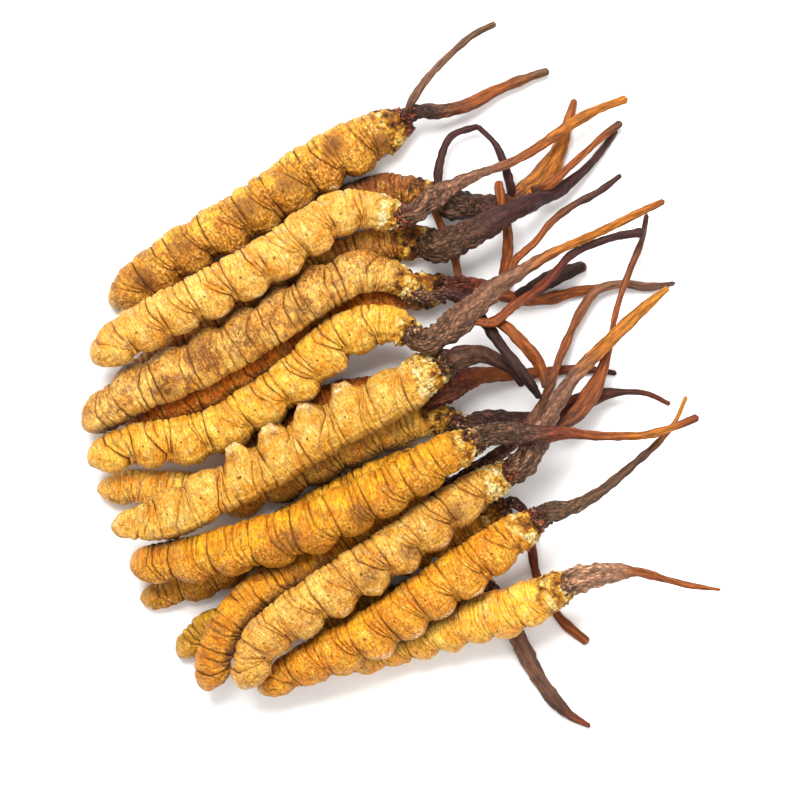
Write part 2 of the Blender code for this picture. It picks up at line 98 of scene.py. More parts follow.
# Waves over a skin: their height, their length along it, and how many go round it at most
GROOVE_WANDER = (0.12, 6.0, 2)
GROOVE_RIPPLE = (0.04, 1.6, 9)
NECK_EDGE_WANDER = (0.5, 2.0, 4)
CRUMB_TONE_DRIFT = (0.2, 2.4, 3)
SKIN_RIPPLE = (0.04, 1.3, 9)
LEG_EDGE_RIPPLE = (0.16, 1.0, 9)
LEG_RIPPLE = (0.25, 1.0, 12)
TAIL_EDGE_RIPPLE = (0.4, 1.2, 6)
HEAD_EDGE_RIPPLE = (0.4, 1.0, 6)

# The solids: their rings, counted from the tail, and how these stand to the husk's own radius
CAD_HUSK_SIDES = 10
CAD_STALK_SIDES = 7
CAD_TAIL_SIDE = (-60, -10, 0)
CAD_GROOVE_LEVELS = slice(3, 18, 2)
CAD_LEG_LEVELS = (8, 10, 12, 14)
CAD_PLATE_SWELL = 0.97
CAD_GROOVE_PINCH = 0.85
CAD_CAP_SHARE = 0.76

# Stalks
STALK_SIDES = 20
STALK_SPANS = 120
ROOT_REACH = 1.8  # how far a stalk's root goes into the head that it grew from
BRANCH_REACH = 2.2  # how far behind its solid a branch starts
SINK = {"g": 0.5}  # the uppermost stalk lies this much lower than its solid, for its coarse root
TIP_REACH = {"p_branch_2": 0.5, "p_branch_3": 0.45}  # the two tips of the thin arch meet
TWIST = 0.15  # a stalk turns this much each millimetre, at most
FLATNESS = 0.11  # how far its section departs from round
FURROW_DEPTH = 0.09  # against the radius
COARSE_SHARE = 0.6  # share of a stalk's length over which its root's coarseness fades

# Grains on each head, round the root of its stalk
GRAINS = 130
GRAIN_SIZES = (0.12, 0.36)
GRAIN_SPREAD = (-2.0, -0.3, 1.6)  # how far past the head's end they lie: least, most often and most
GRAIN_SINK = 0.3  # share of a grain's size that is sunk in the skin
RED_HEADS = "abkl"
BROWN_CRUMBS = [(0.0, "1C0E0A"), (0.3, "4A2A18"), (0.6, "86582C"), (1.0, "DCB474")]
RED_CRUMBS = [(0.0, "240C08"), (0.3, "541A0A"), (0.6, "8E3610"), (1.0, "D08440")]

# Husk colours: pale plate, warm plate, fold, and how strongly brown grit and blotches show on it.
HUSKS = {
    "a": ("FFBF3B", "CC7F15", "482305", 0.80),
    "b": ("F5C159", "E2962B", "6E380C", 0.20),
    "c": ("FCC964", "D79133", "523010", 0.95),
    "d": ("F7C246", "E6961F", "6E3808", 0.25),
    "e": ("ECBC51", "DD9628", "7A4412", 0.25),
    "f": ("FFD056", "FFA630", "6E3608", 0.30),
    "g": ("EAA517", "CA7606", "5C2C05", 0.45),
    "h": ("EAA721", "B9760F", "3F1E05", 0.45),
    "i": ("E3AD26", "B17A16", "442207", 0.40),
    "j": ("E69919", "BE6F08", "582B05", 0.40),
    "k": ("F7C458", "DD942B", "6E3C10", 0.45),
    "l": ("F4A71D", "D7800A", "6A3608", 0.30),
    "m": ("FFCA48", "F9A327", "8A4E11", 0.25),
    "n": ("FF8E18", "CE600B", "421D05", 0.50),
    "o": ("EAA03A", "B46620", "361805", 0.45),
    # p lies low under the others: its darker colours are partly painted shade
    "p": ("9C5820", "743812", "2C0F05", 0.50),
    "t": ("FFB222", "D98010", "4A2207", 0.35),
    # w lies low under the others: its darker colours are partly painted shade
    "w": ("BF6209", "8F4103", "3F1D06", 0.40),
}

# Each husk's build: depth of its grooves, rise of its legs, height of its lumps, length of its crumbly neck,
# and from 0 to 1 how pale the neck's crumbs are, how rusty the sides are and how chalky the tail is
BUILD_PARTS = ("groove", "legs", "lumps", "neck", "pale", "rusty", "chalky")
COMMON_BUILD = (0.36, 0.30, 0.08, 5.0, 0.38, 0.55, 0.2)
BUILDS = {
    "a": (0.38, 0.30, 0.14, 5.0, 0.42, 0.70, 0.8),
    "b": (0.36, 0.30, 0.07, 5.0, 0.66, 0.30, 0.3),
    "c": (0.38, 0.25, 0.09, 5.0, 0.58, 0.50, 0.3),
    "d": (0.42, 0.30, 0.08, 3.4, 0.55, 0.30, 0.3),
    "e": (0.38, 1.20, 0.09, 5.6, 0.74, 0.25, 0.6),
    "g": (0.36, 0.25, 0.07, 4.2, 0.50, 0.50, 0.3),
    "k": (0.40, 0.30, 0.09, 5.6, 0.74, 0.45, 0.7),
    "l": (0.36, 0.30, 0.09, 4.6, 0.50, 0.40, 0.5),
    "m": (0.26, 0.20, 0.07, 5.2, 0.52, 0.30, 0.3),
    "o": (0.36, 0.30, 0.10, 6.0, 0.30, 0.70, 0.2),
    "p": (0.36, 0.30, 0.10, 5.0, 0.25, 0.70, 0.2),
}

# Brown stains on husks, each as its x, y and width
STAINS = {
    "a": [(-19.3, 20.8, 1.5), (-14.2, 23.9, 1.5), (-8.5, 28.5, 1.6), (-32.2, 12.2, 1.6), (-27.4, 16.4, 1.6),
          (-2.5, 29.0, 1.2)],
    "c": [(-24.2, 2.4, 2.2), (-19.4, 4.8, 1.8), (-29.4, -1.2, 1.5), (-12.0, 8.6, 1.4)],
    "e": [(-21.0, -10.2, 0.8), (-16.0, -7.2, 0.8), (-11.4, -3.8, 0.8), (-8.2, -1.9, 0.8), (-3.9, 0.6, 0.8)],
    "g": [(-14.0, -20.6, 2.0), (-5.0, -17.2, 1.6)],
    "k": [(-3.9, -25.0, 1.3), (1.0, -21.8, 1.3), (6.8, -17.0, 1.4), (12.0, -13.6, 1.2)],
}

# Bark colours
TAN = "A87A5C"
PINK = "7E5640"
GREY = "644832"
DUN = "543628"
DARK = "38201A"
PURPLE = "42221E"
RED = "74321A"
RUST = "8E4A1C"
OCHRE = "AE661C"
GOLD = "BE7826"

# Each stalk's colours from root to tip, as (share of its length, colour)
STALKS = {
    "a": [(0, DARK), (0.12, DARK), (0.3, DUN), (0.55, RUST), (0.7, RUST), (1, GREY)],
    "a_branch": [(0, DUN), (0.4, PINK), (1, GREY)],
    "b": [(0, GREY), (0.25, PINK), (0.42, PINK), (0.6, RUST), (0.8, OCHRE), (1, OCHRE)],
    "c": [(0, PINK), (0.25, PURPLE), (0.6, DARK), (1, DARK)],
    "c_branch": [(0, PURPLE), (0.25, RUST), (0.8, RUST), (1, DUN)],
    "d": [(0, GREY), (0.3, PINK), (0.48, PINK), (0.65, OCHRE), (0.85, OCHRE), (1, RUST)],
    "d_branch_1": [(0, RUST), (0.35, RUST), (0.7, DUN), (1, PURPLE)],
    "d_branch_2": [(0, RUST), (0.45, RED), (0.7, PURPLE), (1, PURPLE)],
    "e": [(0, DUN), (0.5, DUN), (1, DARK)],
    "f": [(0, DUN), (0.3, DARK), (0.6, RED), (0.8, DARK), (1, RED)],
    "g": [(0, GREY), (0.3, DUN), (0.42, RED), (0.6, RUST), (0.85, OCHRE), (1, RED)],
    "h": [(0, DARK), (0.35, DUN), (0.5, RUST), (0.75, RUST), (1, DUN)],
    "i": [(0, DUN), (0.4, PINK), (0.8, DUN), (1, RED)],
    "j": [(0, GREY), (0.3, PINK), (0.6, RUST), (0.85, PINK), (1, DUN)],
    "k": [(0, GREY), (0.35, PINK), (0.52, PINK), (0.66, OCHRE), (0.9, GOLD), (1, GOLD)],
    "l": [(0, GREY), (0.3, GREY), (0.7, DUN), (0.85, OCHRE), (1, GOLD)],
    "m": [(0, TAN), (0.35, TAN), (0.5, RUST), (1, RUST)],
    "n": [(0, DARK), (0.3, RED), (0.6, RUST), (1, RUST)],
    "n_branch_1": [(0, DARK), (0.93, DARK), (0.98, PINK), (1, PINK)],
    "n_branch_2": [(0, RED), (0.4, RUST), (1, RUST)],
    "n_branch_3": [(0, DUN), (0.25, RUST), (1, RUST)],
    "o": [(0, GREY), (0.3, DUN), (0.45, PURPLE), (0.8, PURPLE), (1, DUN)],
    "p": [(0, GREY), (0.3, DUN), (0.42, PURPLE), (0.55, OCHRE), (0.8, OCHRE), (1, RUST)],
    "p_branch_1": [(0, DUN), (0.3, RUST), (0.8, RUST), (1, DUN)],
    "p_branch_2": [(0, PURPLE), (1, PURPLE)],
    "p_branch_3": [(0, PURPLE), (1, PURPLE)],
    "t": [(0, DARK), (0.5, RED), (1, RUST)],
    "w": [(0, GREY), (0.3, RED), (0.5, RUST), (0.8, RED), (1, DARK)],
}

# Patterns on husks and stalks, in cells to a millimetre
PATCHES = 0.35  # patches of 3 mm
MOTTLE = 0.85  # mottle of 1.2 mm
GRIT = 3.0  # grit of 0.3 mm
FINE_CRUMBS = 2.5  # crumbs of 0.4 mm
WRINKLES = (2.6, 0.5, 0.5)  # wrinkles 0.4 mm apart that run 2 mm round the body
FIBRES = (0.5, 4.0, 4.0)  # fibres 0.25 mm wide and 2 mm long
BARK_PATCHES = (0.9, 0.9, 0.9)  # patches of 1 mm
BARK_FLECKS = (2.0, 3.4, 3.4)  # crusty flecks 0.3 mm wide and 0.5 mm long
# Patterns that read metres, in cells to a metre
GRAIN_GRIT = 5000.0  # grit of 0.2 mm
TABLE_CLOUDS = 400.0  # cloudiness some 2 mm across

# Studio, in metres
TABLE_SIZE = 4
TABLE_GAP = 0.00003  # between the table and the lowest point
ROOM_LIGHT = (1, 0.98, 0.96, 1)
ROOM_STRENGTH = 0.72
# each lamp's place, width and watts
LAMPS = {
    "key": ((-0.10, 0.38, 0.80), 0.4, 13.0),
    "fill": ((0.3, -0.25, 0.9), 0.7, 3.0),
}
CAMERA_PLACE = (-0.0001, -0.0031, 1.205)
CAMERA_FILM = 36  # width, in millimetres
CAMERA_LENS = 432  # focal length, in millimetres
CAMERA_NEAR = 0.1


def linear(code):
    """Linear colour of an sRGB hex code."""
    values = [int(code[i:i + 2], 16) / 255 for i in (0, 2, 4)]
    return [v / 12.92 if v <= 0.04045 else ((v + 0.055) / 1.055)**2.4 for v in values] + [1]


def add(tree, kind, inputs=None, stops=None, output=0, **settings):
    """Adds a shader node with its settings, colour stops and inputs, and gives its output."""
    made = tree.nodes.new(kind)
    for name, value in settings.items():
        setattr(made, name, value)
    for number, (place, shade) in enumerate(stops or []):
        ramp = made.color_ramp.elements
        stop = ramp[number] if number < 2 else ramp.new(place)
        stop.position = place
        stop.color = linear(shade) if isinstance(shade, str) else (shade, shade, shade, 1)
    for socket, value in (inputs or {}).items():
        if isinstance(value, bpy.types.NodeSocket):
            tree.links.new(value, made.inputs[socket])
        else:
            made.inputs[socket].default_value = value
    return made.outputs[output]


def smoothstep(low, high, value):
    t = np.clip((value - low) / (high - low), 0, 1)
    return t * t * (3 - 2 * t)


def build_of(key):
    """A husk's build, by the names of its parts."""
    return dict(zip(BUILD_PARTS, BUILDS.get(key, COMMON_BUILD)))


def wrapped(turn):
    """A turn as the shortest way round, to either side."""
    return (turn + math.pi) % FULL_TURN - math.pi


def bell(gone, width):
    """1 where nothing is gone, falling to 0 over a width."""
    return np.exp(-(gone / width)**2)


def end_rounding(share):
    """Square of the girth of a round end, a share of the end's radius away from its tip."""
    return 1 - (1 - np.clip(share, 0, 1))**2


def waves(rng, along, turn, length, lobes, count=9):
    """Smooth random waves over a skin, about -1 to 1: their length along it, and how many go round it."""
    total = 0
    for _ in range(count):
        total = total + np.sin(FULL_TURN * along / (length * rng.uniform(0.6, 1.8))
                               + rng.integers(-lobes, lobes + 1) * turn + rng.uniform(0, FULL_TURN))
    return total / math.sqrt(count)


def ripples(rng, along, turn, *sizes):
    """Waves of several sizes added up, each size a height, a length and the lobes that go round."""
    return sum(height * waves(rng, along, turn, length, lobes) for height, length, lobes in sizes)


def packed_crumbs(rng, along, turn, start, size):
    """Crumbs packed over a skin: how far each point is from their cracks, and the number of its crumb."""
    neck_radius = 2.4
    rows = np.arange(start, along.max() + size, size)
    columns = int(FULL_TURN * neck_radius / (0.8 * size))
    seed_along, seed_turn = np.meshgrid(rows, np.arange(columns) * FULL_TURN / columns, indexing="ij")
    seed_along = (seed_along + rng.uniform(-0.2, 0.2, seed_along.shape) * size).ravel()
    seed_turn = (seed_turn + rng.uniform(-0.4, 0.4, seed_turn.shape) * size / neck_radius).ravel()
    sideways = neck_radius * wrapped(turn[..., None] - seed_turn)
    gone = np.hypot(along[..., None] - seed_along, sideways)
    nearest = np.argmin(gone, axis=-1)
    first, second = np.moveaxis(np.partition(gone, 1, axis=-1)[..., :2], -1, 0)
    return np.clip((second - first) / (0.9 * size), 0, 1), nearest


def curve_through(knots, values, places):
    """A smooth curve through the values at the knots, read at any places."""
    slopes = np.gradient(values, knots, axis=0)
    span = np.clip(np.searchsorted(knots, places) - 1, 0, len(knots) - 2)
    width = (knots[span + 1] - knots[span])[..., None]
    t = (places - knots[span])[..., None] / width
    return ((2 * t**3 - 3 * t**2 + 1) * values[span] + (t**3 - 2 * t**2 + t) * width * slopes[span]
            + (3 * t**2 - 2 * t**3) * values[span + 1] + (t**3 - t**2) * width * slopes[span + 1])


def levels_of(name, sides, start_near):
    """A node's points in millimetres, ring by ring from the end that is nearest to a place."""
    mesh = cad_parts[name].data
    points = np.array([corner.co for corner in mesh.vertices]) / MM
    points, merged = np.unique(points.round(4), axis=0, return_inverse=True)
    merged = merged.reshape(-1)
    near = [set() for _ in points]
    for face in mesh.polygons:
        corners = [merged[i] for i in face.vertices]
        for one, other in zip(corners, corners[1:] + corners[:1]):
            near[one].add(other)
            near[other].add(one)
    ends = [i for i, others in enumerate(near) if len(others) == sides]
    first = min(ends, key=lambda i: np.linalg.norm(points[i] - start_near))
    levels = [{first}]
    seen = {first}
    while len(seen) < len(points):
        following = set().union(*(near[i] for i in levels[-1])) - seen
        levels.append(following)
        seen |= following
    return [points[sorted(level)] for level in levels]


def middles_of(levels):
    """The middle and the mean radius of each ring of points."""
    centres = [level.mean(axis=0) for level in levels]
    radii = [np.linalg.norm(level - centre, axis=1).mean() for level, centre in zip(levels, centres)]
    return centres, radii


def across_of(ahead):
    """The directions to the right of a way and up from it."""
    ahead = ahead / np.linalg.norm(ahead, axis=-1, keepdims=True)
    right = np.cross(ahead, (0, 0, 1))
    right = right / np.linalg.norm(right, axis=-1, keepdims=True)
    return right, np.cross(right, ahead)


class Spine:
    """A smooth middle line through a node's rings, with its radius."""

    def __init__(self, centres, radii):
        self.centres = np.array(centres)
        self.knots = np.concatenate([[0], np.cumsum(np.linalg.norm(np.diff(self.centres, axis=0), axis=1))])
        self.radii = np.array(radii)
        self.length = self.knots[-1]

    def centre_at(self, along):
        return curve_through(self.knots, self.centres, along)

    def radius_at(self, along):
        return np.interp(along, self.knots, self.radii)

    def smooth_radius_at(self, along):
        return curve_through(self.knots, self.radii[:, None], along)[..., 0]

    def nearest(self, point):
        """The place on the line that is nearest to a point."""
        places = self.centre_at(np.linspace(0, self.length, 200))
        return places[np.argmin(np.linalg.norm(places - point, axis=1))]

    def beads(self, count=60):
        """Places along the line with the radius there, as a row of (x, y, z, radius)."""
        at = np.linspace(0, self.length, count)
        return np.column_stack([self.centre_at(at), self.radius_at(at)])

    def lay(self, along, turn, radius, belly=0.0):
        """Points at a distance along the line, a turn from the belly's side and a radius out."""
        step = 0.3
        before = self.centre_at(np.clip(along - step, 0, self.length))
        after = self.centre_at(np.clip(along + step, 0, self.length))
        right, up = across_of(after - before)
        angle = (turn + belly)[..., None]
        return self.centre_at(along) + radius[..., None] * (np.sin(angle) * right - np.cos(angle) * up)


def tube_blank(sides, spans):
    """A straight round bar, cut into spans: the stock that husks and stalks are shaped from."""
    bpy.ops.object.select_all(action="DESELECT")
    bpy.ops.mesh.primitive_cylinder_add(vertices=sides, radius=1, depth=1, end_fill_type="TRIFAN")
    bar = bpy.context.object
    bpy.ops.object.mode_set(mode="EDIT")
    cuts = next(n for n in range(int(math.sqrt(spans)), 0, -1) if spans % n == 0)
    for pieces in (cuts, spans // cuts):
        if pieces == 1:
            continue
        skin = bmesh.from_edit_mesh(bar.data)
        for edge in skin.edges:
            edge.select_set(abs(edge.verts[0].co.z - edge.verts[1].co.z) > 1e-4)
        bmesh.update_edit_mesh(bar.data)
        bpy.ops.mesh.subdivide(number_cuts=pieces - 1)
    bpy.ops.object.mode_set(mode="OBJECT")
    return bar


def shaped(blank, name, grid, spine, fields):
    """A copy of the blank with its rings at the grid's points, and its fields stored on the points."""
    rings, sides = grid.shape[:2]
    mesh = blank.data.copy()
    mesh.name = name
    stock = np.empty(len(mesh.vertices) * 3)
    mesh.vertices.foreach_get("co", stock)
    stock = stock.reshape(-1, 3)
    ring = np.round((stock[:, 2] + 0.5) * (rings - 1)).astype(int)
    side = np.round(np.arctan2(stock[:, 1], stock[:, 0]) / FULL_TURN * sides).astype(int) % sides
    placed = grid[ring, side]
    pole = np.hypot(stock[:, 0], stock[:, 1]) < 0.5
    placed[pole & (ring == 0)] = spine.centres[0]
    placed[pole & (ring > 0)] = spine.centres[-1]
    # nothing goes through the table
    placed[:, 2] = np.maximum(placed[:, 2], 0)
    mesh.vertices.foreach_set("co", (placed * MM).ravel())
    for field, values in fields.items():
        kind, key = ("FLOAT_VECTOR", "vector") if values.ndim == 3 else ("FLOAT", "value")
        mesh.attributes.new(field, kind, "POINT").data.foreach_set(key, values[ring, side].ravel())
    mesh.shade_smooth()
    mesh.update()
    piece = bpy.data.objects.new(name, mesh)
    bpy.context.collection.objects.link(piece)
    bpy.ops.object.select_all(action="DESELECT")
    bpy.context.view_layer.objects.active = piece
    piece.select_set(True)
    bpy.ops.object.mode_set(mode="EDIT")
    bpy.ops.mesh.select_all(action="SELECT")
    bpy.ops.mesh.normals_make_consistent(inside=False)
    bpy.ops.object.mode_set(mode="OBJECT")
    return piece


def ring_places(count):
    """Places from 0 up to 1 across a plate or fold, closer together near its two grooves."""
    even = np.arange(count) / count
    return even - RING_CROWDING * np.sin(FULL_TURN * even)


def husk_rings():
    """For each ring: its segment, whether it is in a fold, which fold, and how far across plate or fold."""
    rows = []
    for segment in range(SEGMENTS):
        rows += [(segment, 0, 0, across) for across in ring_places(PLATE_RINGS)]
        for fold in range(FOLDS):
            rows += [(segment, 1, fold, across) for across in ring_places(FOLD_RINGS)]
    rows += [(SEGMENTS, 1, 0, across) for across in np.linspace(0, 1, NECK_RINGS + 1)]
    return np.array(rows)


def husk_spine(name):
    """The husk's middle line and radius, and its belly's turn, which its legs in the solid show."""
    levels = levels_of(name, CAD_HUSK_SIDES, np.array(CAD_TAIL_SIDE))
    centres, radii = middles_of(levels)
    for number in range(1, len(radii) - 1):
        radii[number] /= CAD_GROOVE_PINCH if number % 2 else CAD_PLATE_SWELL
    radii[1] /= CAD_CAP_SHARE
    radii[-2] /= CAD_CAP_SHARE
    radii[0] = radii[1]
    radii[-1] = radii[-2]
    sines = []
    cosines = []
    for number in CAD_LEG_LEVELS:
        outward = levels[number] - centres[number]
        foot = outward[np.argmax(np.linalg.norm(outward, axis=1))]
        right, up = across_of(centres[number + 1] - centres[number - 1])
        sines.append(foot @ right)
        cosines.append(-foot @ up)
    return Spine(centres, radii), math.atan2(sum(sines), sum(cosines))


def painted_gap_shade(points, others):
    """How near points are to other husks, for the painted shade between them: 1 where they touch, 0 from a
    crevice's width on.
    """
    flat = points.reshape(-1, 3)
    apart = (flat**2).sum(axis=1)[:, None] + (others[:, :3]**2).sum(axis=1) - 2 * flat @ others[:, :3].T
    clear = (np.sqrt(np.maximum(apart, 0)) - others[:, 3]).min(axis=1).reshape(points.shape[:2])
    return smoothstep(CREVICE, 0.1, clear)


class Skin:
    """The skin of one husk, ring by ring and side by side: where each point lies, and how high it stands."""

    def __init__(self, rng, rows, spine, build):
        self.rng = rng
        self.spine = spine
        self.build = build
        segment, is_fold, fold, across = (column[:, None] for column in rows.T)
        self.segment = segment.astype(int)
        self.fold = fold.astype(int)
        self.is_fold = is_fold
        self.across = across
        self.is_neck = self.segment == SEGMENTS
        self.turn = np.linspace(0, FULL_TURN, HUSK_SIDES, endpoint=False)[None, :]
        self.from_belly = np.abs(wrapped(self.turn))
        self.low = smoothstep(*LOW_SIDE, self.from_belly)
        self.spread = np.clip((self.from_belly - FOLDS_MEET) / FOLDS_SPREAD, 0, 1)**0.8
        self.place_rings()
        self.raise_plates()
        self.crumble_neck()

    def place_rings(self):
        """Sets where each segment, plate and fold starts at each turn, and so each point's place."""
        rng = self.rng
        length = self.spine.length
        starts = np.concatenate([[0], self.spine.knots[CAD_GROOVE_LEVELS], [length]])
        starts[1:-1] += rng.uniform(-GROOVE_STRAY, GROOVE_STRAY, len(starts) - 2)
        back_shares = BACK_PLATE_SHARE + rng.uniform(-BACK_PLATE_STRAY, BACK_PLATE_STRAY, SEGMENTS + 1)
        share = SIDE_PLATE_SHARE + (back_shares[self.segment] - SIDE_PLATE_SHARE) * self.spread
        widths = rng.uniform(*FOLD_WIDTHS, (SEGMENTS + 1, FOLDS))
        edges = np.cumsum(widths, axis=1) / widths.sum(axis=1)[:, None]
        edges = np.concatenate([np.zeros((SEGMENTS + 1, 1)), edges], axis=1)
        fold_start = edges[self.segment, self.fold]
        fold_place = fold_start + (edges[self.segment, self.fold + 1] - fold_start) * self.across
        place = np.where(self.is_fold > 0, share + (1 - share) * fold_place, share * self.across)
        self.place = np.where(self.is_neck, self.across, place)
        self.fold_width = widths[self.segment, self.fold]
        along = starts[self.segment] + np.diff(starts)[self.segment] * self.place + 0 * self.turn
        wander = ripples(rng, along, self.turn, GROOVE_WANDER, GROOVE_RIPPLE)
        calm = smoothstep(0, TAIL_CALM, along) * smoothstep(0, HEAD_CALM, length - along)
        along = np.clip(along + wander * calm, 0, length)
        along[0] = END_GAP
        along[-1] = length - END_GAP
        self.along = along

    def raise_plates(self):
        """Sets the relief: flat-topped plates and lower folds, parted by narrow grooves of uneven depth."""
        rng = self.rng
        from_middle = np.abs(2 * self.across - 1)
        profile = 1 - from_middle**(PLATE_POWER - SIDE_POWER_LOSS * self.low)
        profile = np.where(self.is_fold > 0, 1 - from_middle**FOLD_POWER, profile)
        profile = np.where(self.is_neck, 1, profile)
        tail_ring = bell(self.along - TAIL_RING, TAIL_RING_WIDTH)
        profile = profile * (1 - 0.6 * tail_ring)

        lines = FOLDS + 1
        line = self.segment * lines + (self.fold + self.is_fold + (self.across > 0.5)).astype(int)
        depths = rng.uniform(*GROOVE_DEPTHS, (SEGMENTS + 1) * lines + 1)
        depths[::lines] = rng.uniform(*SEGMENT_GROOVE_DEPTHS, len(depths[::lines]))
        fading = waves(rng, line * 7.0, self.turn, 9.0, 3)
        depth = np.maximum(depths[line] * np.clip(0.85 + 0.4 * fading, 0.15, 1), tail_ring)

        def heights(fold_top):
            bottom = fold_top - depth * (0.25 + 0.75 * fold_top)
            top = np.where(self.is_fold > 0, fold_top * (0.85 + 0.15 * self.fold_width), 1)
            return bottom + (top - bottom) * profile

        # the folds sink where they run together, but keep their colour
        sunk = LOW_FOLD_TOP + (1 - LOW_FOLD_TOP) * smoothstep(0.0, 0.4, self.spread)
        self.relief = heights(FOLD_TOP * sunk)
        self.shade = heights(FOLD_TOP)

    def crumble_neck(self):
        """Turns the skin of the neck to packed crumbs, each of one tone and height."""
        rng = self.rng
        along = self.along
        start = self.spine.length - self.build["neck"]
        edge = along + ripples(rng, along, self.turn, NECK_EDGE_WANDER)
        self.necked = smoothstep(start, start + NECK_BLEND, edge)
        self.tone = np.zeros_like(along)
        dome = np.zeros_like(along)
        rings = (along > start - 1.5).any(axis=1)
        height, number = packed_crumbs(rng, along[rings], self.turn + 0 * along[rings], start - 2, CRUMB)
        tones = rng.normal(self.build["pale"], CRUMB_TONE_SPREAD, number.max() + 1)
        drift = ripples(rng, along[rings], self.turn, CRUMB_TONE_DRIFT)
        self.tone[rings] = np.clip(tones[number] + drift, 0.02, 0.98)
        dome[rings] = height**0.5 * rng.uniform(*CRUMB_RISES, number.max() + 1)[number]
        self.relief = self.relief + (0.1 + 0.9 * dome - self.relief) * self.necked
        self.shade = self.shade + (0.1 + 0.9 * dome - self.shade) * self.necked

    def body_radius(self):
        """The radius at each point, without the legs."""
        rng = self.rng
        along = self.along
        length = self.spine.length
        end_radius = np.where(along < length / 2, TAIL_RADIUS, HEAD_RADIUS)
        cap = np.sqrt(end_rounding(np.minimum(along, length - along) / end_radius))
        lumps = ripples(rng, along, self.turn, (self.build["lumps"], 3.6, 3), SKIN_RIPPLE)
        lumps = lumps + 0.06 * self.low * waves(rng, along, self.turn, 1.0, 12)
        gain = 1 + LOW_GROOVE_GAIN * self.low * (1 - self.necked) + NECK_CRACK_GAIN * self.necked
        deep = self.build["groove"] * gain
        return (self.spine.smooth_radius_at(along) + HUSK_SWELL - deep * (1 - self.relief) + lumps) * cap

    def belly_legs(self):
        """Belly legs, in pairs, each a rough knob with a ring round its sole: their rise, and the rings."""
        rng = self.rng
        along = self.along
        rise = self.build["legs"]
        width = TALL_LEG_WIDTH if rise > 1 else LEG_WIDTH
        legs = np.zeros_like(along)
        soles = np.zeros_like(along)
        for level in CAD_LEG_LEVELS:
            centre = self.spine.knots[level] + rng.uniform(-0.2, 0.2)
            for side in (-1, 1):
                aside = wrapped(self.turn - side * LEG_ANGLE) * HUSK_RADIUS / (width * rng.uniform(0.8, 1.0))
                gone = np.sqrt(((along - centre) / (width * rng.uniform(0.85, 1.1)))**2 + aside**2)
                gone = gone + ripples(rng, along, self.turn, LEG_EDGE_RIPPLE)
                legs = np.maximum(legs, smoothstep(1.15, SOLE_RADIUS, gone) * rng.uniform(0.85, 1.15))
                soles = np.maximum(soles, bell(gone - SOLE_RADIUS, SOLE_RING_WIDTH))
        legs = rise * legs * (1 + ripples(rng, along, self.turn, LEG_RIPPLE))
        return legs - 0.2 * soles * rise, soles

    def edge_of(self, first, last, ripple):
        """Goes from 0 at one place along the husk to 1 at another, with a ragged edge."""
        return smoothstep(first, last, self.along + ripples(self.rng, self.along, self.turn, ripple))


def stains_on(key, grid):
    """Where the husk's brown stains are, from 0 to 1."""
    stains = np.zeros(grid.shape[:2])
    for x, y, wide in STAINS.get(key, []):
        stains = np.maximum(stains, np.exp(-((grid[..., 0] - x)**2 + (grid[..., 1] - y)**2) / wide**2))
    return stains


def straightened(along, turn, radius):
    """Each point's place if its middle line were straight, for patterns that follow the surface."""
    return np.stack([along, radius * np.cos(turn), radius * np.sin(turn)], axis=-1)


def larva_husk(key, blank, rows, spine, belly, others):
    """One husk: a rounded tail, eight ringed segments of a plate and its folds, and a crumbly neck."""
    build = build_of(key)
    skin = Skin(np.random.default_rng(ord(key)), rows, spine, build)
    radius = skin.body_radius()
    rise, soles = skin.belly_legs()
    radius += rise
    everywhere = 0 * skin.along
    grid = spine.lay(skin.along, skin.turn + everywhere, radius, belly)
    fields = {
        "straight": straightened(skin.along, skin.turn, radius),
        "relief": np.clip(skin.shade, 0, 1),
        "stain": stains_on(key, grid),
        "sole": soles,
        "neck": skin.necked,
        "tone": skin.tone,
        "tail": build["chalky"] * skin.edge_of(2.0, 0.8, TAIL_EDGE_RIPPLE),
        "head": skin.edge_of(spine.length - 1.5, spine.length - 0.6, HEAD_EDGE_RIPPLE),
        "segment": skin.segment + skin.place + everywhere,
        "from_belly": skin.from_belly + everywhere,
        # painted shade where the skin lies near another husk
        "painted_gap_shade": painted_gap_shade(grid, others),
    }
    piece = shaped(blank, "husk_" + key, grid, spine, fields)
    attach(piece, "root")
    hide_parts("larva_" + key)
    return piece


def stalk_spine(key, grown_from):
    """A stalk's middle line: it starts inside the head or the stalk that it grew from."""
    branch = "branch" in key
    levels = levels_of("stalk_" + key, CAD_STALK_SIDES, grown_from.centres[0 if branch else -1])
    centres, radii = middles_of(levels)
    centres = [centre - (0, 0, SINK.get(key, 0)) for centre in centres]
    radii[1] /= CAD_CAP_SHARE
    radii[-2] /= CAD_CAP_SHARE
    radii[-1] = radii[-2]
    if branch:
        backwards = centres[1] - centres[2]
        behind = centres[1] + BRANCH_REACH * backwards / np.linalg.norm(backwards)
        # nine tenths of the way from there to the middle of the stalk that it grew from
        centres[0] = 0.1 * behind + 0.9 * grown_from.nearest(behind)
        radii[0] = 0.75 * radii[1]
    else:
        reach = np.array([grown_from.length - ROOT_REACH])
        centres[0] = grown_from.centre_at(reach)[0]
        radii[0] = min(0.8 * radii[1], 0.6 * grown_from.radius_at(reach)[0])
    ahead = centres[-1] - centres[-2]
    centres[-1] = centres[-1] + TIP_REACH.get(key, 0) * ahead / np.linalg.norm(ahead)
    return Spine(centres, radii)


